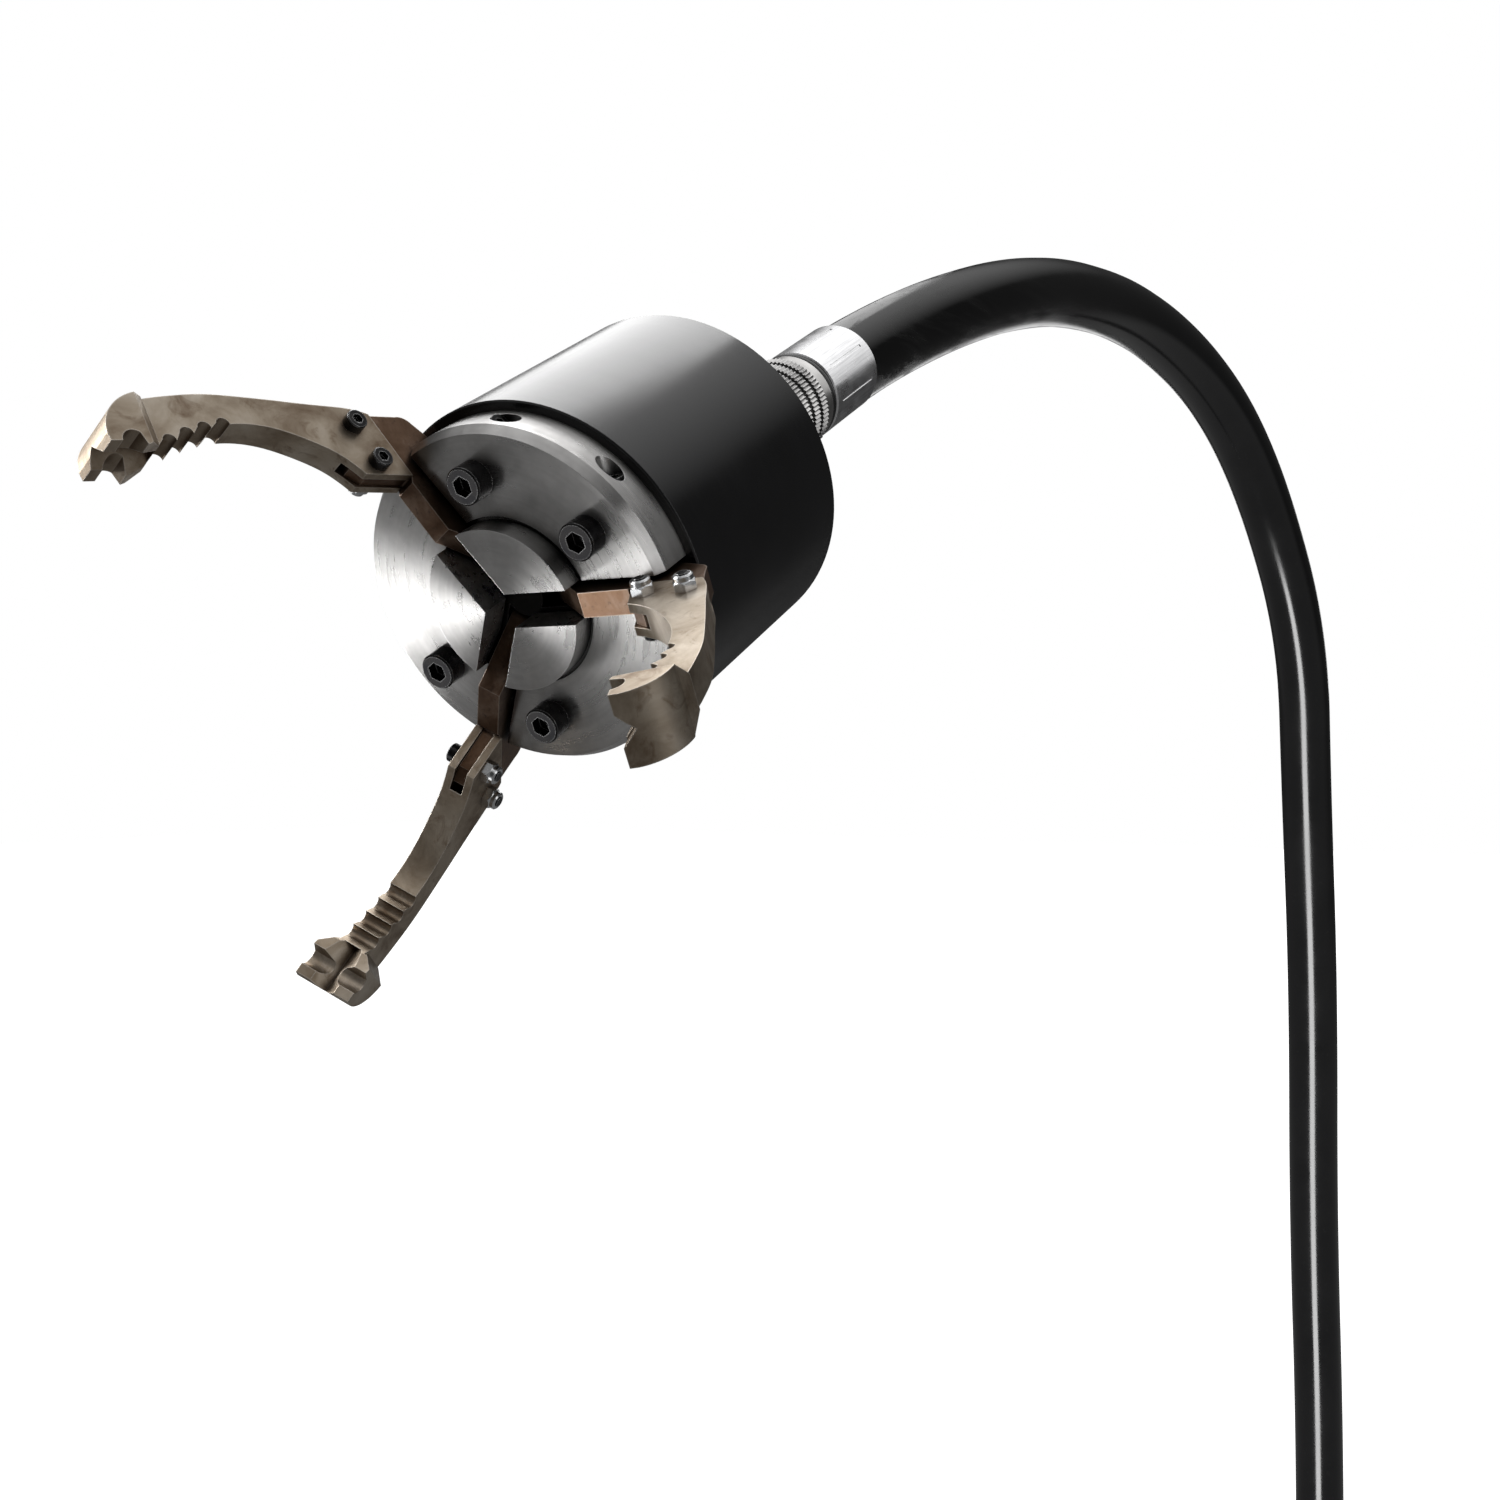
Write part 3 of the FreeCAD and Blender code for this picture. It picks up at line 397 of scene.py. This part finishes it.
FINISHES = {
    "housing_black": housing_black(),
    "flange_steel": turned_metal("flange_steel", (0.62, 0.61, 0.60), 0.29, 0.88),
    "screw_black": black_oxide(),
    "pin_steel": plain_metal("pin_steel", (0.66, 0.66, 0.67), 0.18),
    "lever_bronze": lever_bronze(),
    "jaw_nickel": jaw_nickel(),
    "zinc_nut": plain_metal("zinc_nut", (0.78, 0.79, 0.80), 0.20, 900.0),
    # The crosshead's near-black colour is painted shade for the slot that it sits in.
    "crosshead_steel": plain_metal("crosshead_steel", (0.022, 0.021, 0.020), 0.42, edge=(0.10, 0.10, 0.10)),
    "rod_steel": plain_metal("rod_steel", (0.70, 0.70, 0.72), 0.14),
    "piston_aluminium": turned_metal("piston_aluminium", (0.66, 0.66, 0.67), 0.30, 0.5),
    "seal_rubber": rubber("seal_rubber", 90.0, 0.42),
    "guide_plastic": plastic("guide_plastic", (0.12, 0.25, 0.19)),
    "spring_steel": plain_metal("spring_steel", (0.38, 0.38, 0.40), 0.26),
    "fitting_steel": turned_metal("fitting_steel", (0.60, 0.60, 0.60), 0.30, 0.4),
    "knurl_steel": turned_metal("knurl_steel", (0.58, 0.57, 0.56), 0.30, 0.3),
    "ferrule_metal": drawn_metal("ferrule_metal", (0.80, 0.80, 0.81), 0.30),
    "hose_rubber": rubber("hose_rubber", 26.0, 0.16, scuffed=True),
}
for part in frame["record"]["subparts"]:
    mesh = NODES[part["node"]].data
    mesh.materials.clear()
    mesh.materials.append(FINISHES[part["material_slot"]])


# ---------------------------------------------------------------- hose

def make_hose():
    curve = bpy.data.curves.new("air_hose", "CURVE")
    curve.dimensions = "3D"
    spline = curve.splines.new("NURBS")
    spline.points.add(len(HOSE_ROUTE) - 1)
    for point, at in zip(spline.points, HOSE_ROUTE):
        point.co = at + (1.0,)
    spline.order_u = 3
    spline.use_endpoint_u = True
    spline.resolution_u = HOSE_SMOOTHNESS
    curve.bevel_depth = HOSE_DIAMETER / 2
    curve.bevel_resolution = HOSE_ROUNDNESS
    curve.use_fill_caps = True
    hose = bpy.data.objects.new("air_hose", curve)
    bpy.context.scene.collection.objects.link(hose)
    curve.materials.append(FINISHES["hose_rubber"])
    return hose


air_hose = make_hose()
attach(air_hose, "head")
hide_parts("hose")


# ---------------------------------------------------------------- stage, lights and camera

FLOOR_CENTRE = (0.75, 0.05, 0.0)
FLOOR_HALF_SIZE = 9.0
FLOOR_GAP = 0.0005
FLOOR_RAMP_PER_METRE = 0.25


def make_floor():
    """White floor that glows by itself, a little less near the object, and doesn't light it."""
    size = FLOOR_HALF_SIZE
    height = CAD_BOX[0][2] - FLOOR_GAP
    corners = [(-size, -size, height), (size, -size, height), (size, size, height), (-size, size, height)]
    mesh = bpy.data.meshes.new("floor")
    mesh.from_pydata(corners, [], [(0, 1, 2, 3)])
    floor = bpy.data.objects.new("floor", mesh)
    bpy.context.scene.collection.objects.link(floor)
    s = Shader("floor_white", 0.9, 0.0, Specular_IOR_Level=0.0)
    s.bsdf.inputs["Emission Color"].default_value = (1.0, 1.0, 1.0, 1.0)
    away = s.node("VectorMath", operation="DISTANCE")
    s.link(s.place(), away.inputs[0])
    away.inputs[1].default_value = FLOOR_CENTRE
    share = s.math("MULTIPLY", away.outputs["Value"], FLOOR_RAMP_PER_METRE)
    s.put(s.bsdf.inputs["Emission Strength"], s.ramp(share, (0.10, 0.93), (0.22, 1.0)))
    speckle = s.noise(s.place(), 6.0, 3.0)
    s.colour(s.mix(s.ramp(speckle, (0.3, 0.0), (0.7, 1.0)), (0.80, 0.80, 0.80), (0.83, 0.83, 0.83)))
    mesh.materials.append(s.material)
    floor.visible_glossy = False
    floor.visible_diffuse = False
    floor.visible_shadow = False


# The room's brightness from straight down (0) to straight up (1)
ROOM_GREYS = ((0.36, 0.16), (0.44, 0.045), (0.75, 0.05), (1.0, 1.0))


def make_world():
    """White to the camera. As a light it is dim at the sides, brighter below and white overhead."""
    world = bpy.data.worlds.new("studio")
    bpy.context.scene.world = world
    world.use_nodes = True
    tree = world.node_tree
    tree.nodes.clear()
    coords = tree.nodes.new("ShaderNodeTexCoord")
    split = tree.nodes.new("ShaderNodeSeparateXYZ")
    share = tree.nodes.new("ShaderNodeMath")
    ramp = tree.nodes.new("ShaderNodeValToRGB")
    lit = tree.nodes.new("ShaderNodeBackground")
    seen = tree.nodes.new("ShaderNodeBackground")
    path = tree.nodes.new("ShaderNodeLightPath")
    mix = tree.nodes.new("ShaderNodeMixShader")
    out = tree.nodes.new("ShaderNodeOutputWorld")
    tree.links.new(coords.outputs["Generated"], split.inputs[0])
    share.operation = "MULTIPLY_ADD"
    share.inputs[1].default_value = 0.5
    share.inputs[2].default_value = 0.5
    tree.links.new(split.outputs["Z"], share.inputs[0])
    tree.links.new(share.outputs[0], ramp.inputs["Fac"])
    elements = ramp.color_ramp.elements
    while len(elements) < len(ROOM_GREYS):
        elements.new(0.5)
    for element, (position, grey) in zip(elements, ROOM_GREYS):
        element.position = position
        element.color = (grey, grey, grey, 1.0)
    tree.links.new(ramp.outputs["Color"], lit.inputs["Color"])
    seen.inputs["Color"].default_value = (1.0, 1.0, 1.0, 1.0)
    tree.links.new(path.outputs["Is Camera Ray"], mix.inputs["Fac"])
    tree.links.new(lit.outputs[0], mix.inputs[1])
    tree.links.new(seen.outputs[0], mix.inputs[2])
    tree.links.new(mix.outputs[0], out.inputs["Surface"])


def softbox(name, at, towards, width, height, power, lit=()):
    """An area light, kept to the listed pieces where there is such a list."""
    light = bpy.data.lights.new(name, "AREA")
    light.shape = "RECTANGLE"
    light.size = width
    light.size_y = height
    light.energy = power
    lamp = bpy.data.objects.new(name, light)
    lamp.location = at
    lamp.visible_camera = False
    lamp.rotation_euler = (Vector(towards) - Vector(at)).to_track_quat("-Z", "Y").to_euler()
    bpy.context.scene.collection.objects.link(lamp)
    if lit:
        group = bpy.data.collections.new(name + "_lit")
        for piece in lit:
            group.objects.link(piece)
        lamp.light_linking.receiver_collection = group


def nodes_of(*starts):
    return [NODES[name] for name in NODES if name.startswith(starts)]


make_floor()
make_world()

HOUSING_MIDDLE = (0.72, -0.02, 0.64)
FACE = tuple(FACE_CENTRE)
GRIP = nodes_of("lever", "jaw", "drive_pin")
SLEEVES = nodes_of("upper_ferrule", "coupling_nut", "gland_ring", "hose_stem", "lower")
SCREWS = nodes_of("flange_screws", "jaw_bolts", "jaw_nuts")
HEAD_PIECES = [node for node in NODES.values() if node not in SLEEVES]

# Each light: name, place, aim, width, height, watts and the pieces that it lights
softbox("top_softbox", (0.20, -0.42, 1.40), HOUSING_MIDDLE, 0.76, 0.80, 5.0, HEAD_PIECES)
softbox("hose_strip", (0.50, 0.078, 0.14), (0.0, 0.052, 0.14), 0.20, 0.76, 5.6, [air_hose])
softbox("hose_sheen", (0.10, -0.50, 1.35), (0.5, 0.0, 0.7), 0.6, 0.6, 1.2, [air_hose])
softbox("hose_back", (-1.20, -0.25, 0.78), (0.5, 0.0, 0.72), 0.8, 0.3, 0.9, [air_hose])
softbox("face_right", (1.17, -0.09, 0.20), FACE, 0.26, 0.12, 0.62, nodes_of("front_flange"))
softbox("face_left", (0.88, -0.56, 0.34), FACE, 0.26, 0.14, 1.15, nodes_of("front_flange"))
softbox("screw_softbox", (1.04, -0.34, 0.29), FACE, 0.22, 0.22, 0.22, SCREWS)
softbox("lever_softbox", (1.04, -0.34, 0.29), FACE, 0.30, 0.30, 1.3, nodes_of("lever_3"))
softbox("grip_softbox", (1.30, -1.15, 1.05), (0.95, -0.2, 0.40), 0.7, 1.1, 19.0, GRIP)
softbox("side_softbox", (0.80, 1.30, 0.80), HOUSING_MIDDLE, 0.8, 1.0, 3.0, list(NODES.values()))
softbox("rear_softbox", (-0.50, -1.30, 0.70), HOUSING_MIDDLE, 1.0, 1.0, 3.0, list(NODES.values()))
softbox("sleeve_softbox", (0.30, 0.25, 1.45), (0.60, -0.02, 0.68), 1.6, 1.6, 6.5, SLEEVES)

camera_data = bpy.data.cameras.new("camera")
camera_data.lens = CAMERA_LENS
camera_data.sensor_width = CAMERA_SENSOR
camera = bpy.data.objects.new("camera", camera_data)
camera.location = CAMERA_AT
camera.rotation_euler = CAMERA_TURN
bpy.context.scene.collection.objects.link(camera)
bpy.context.scene.camera = camera
bpy.context.scene.view_settings.view_transform = "Standard"
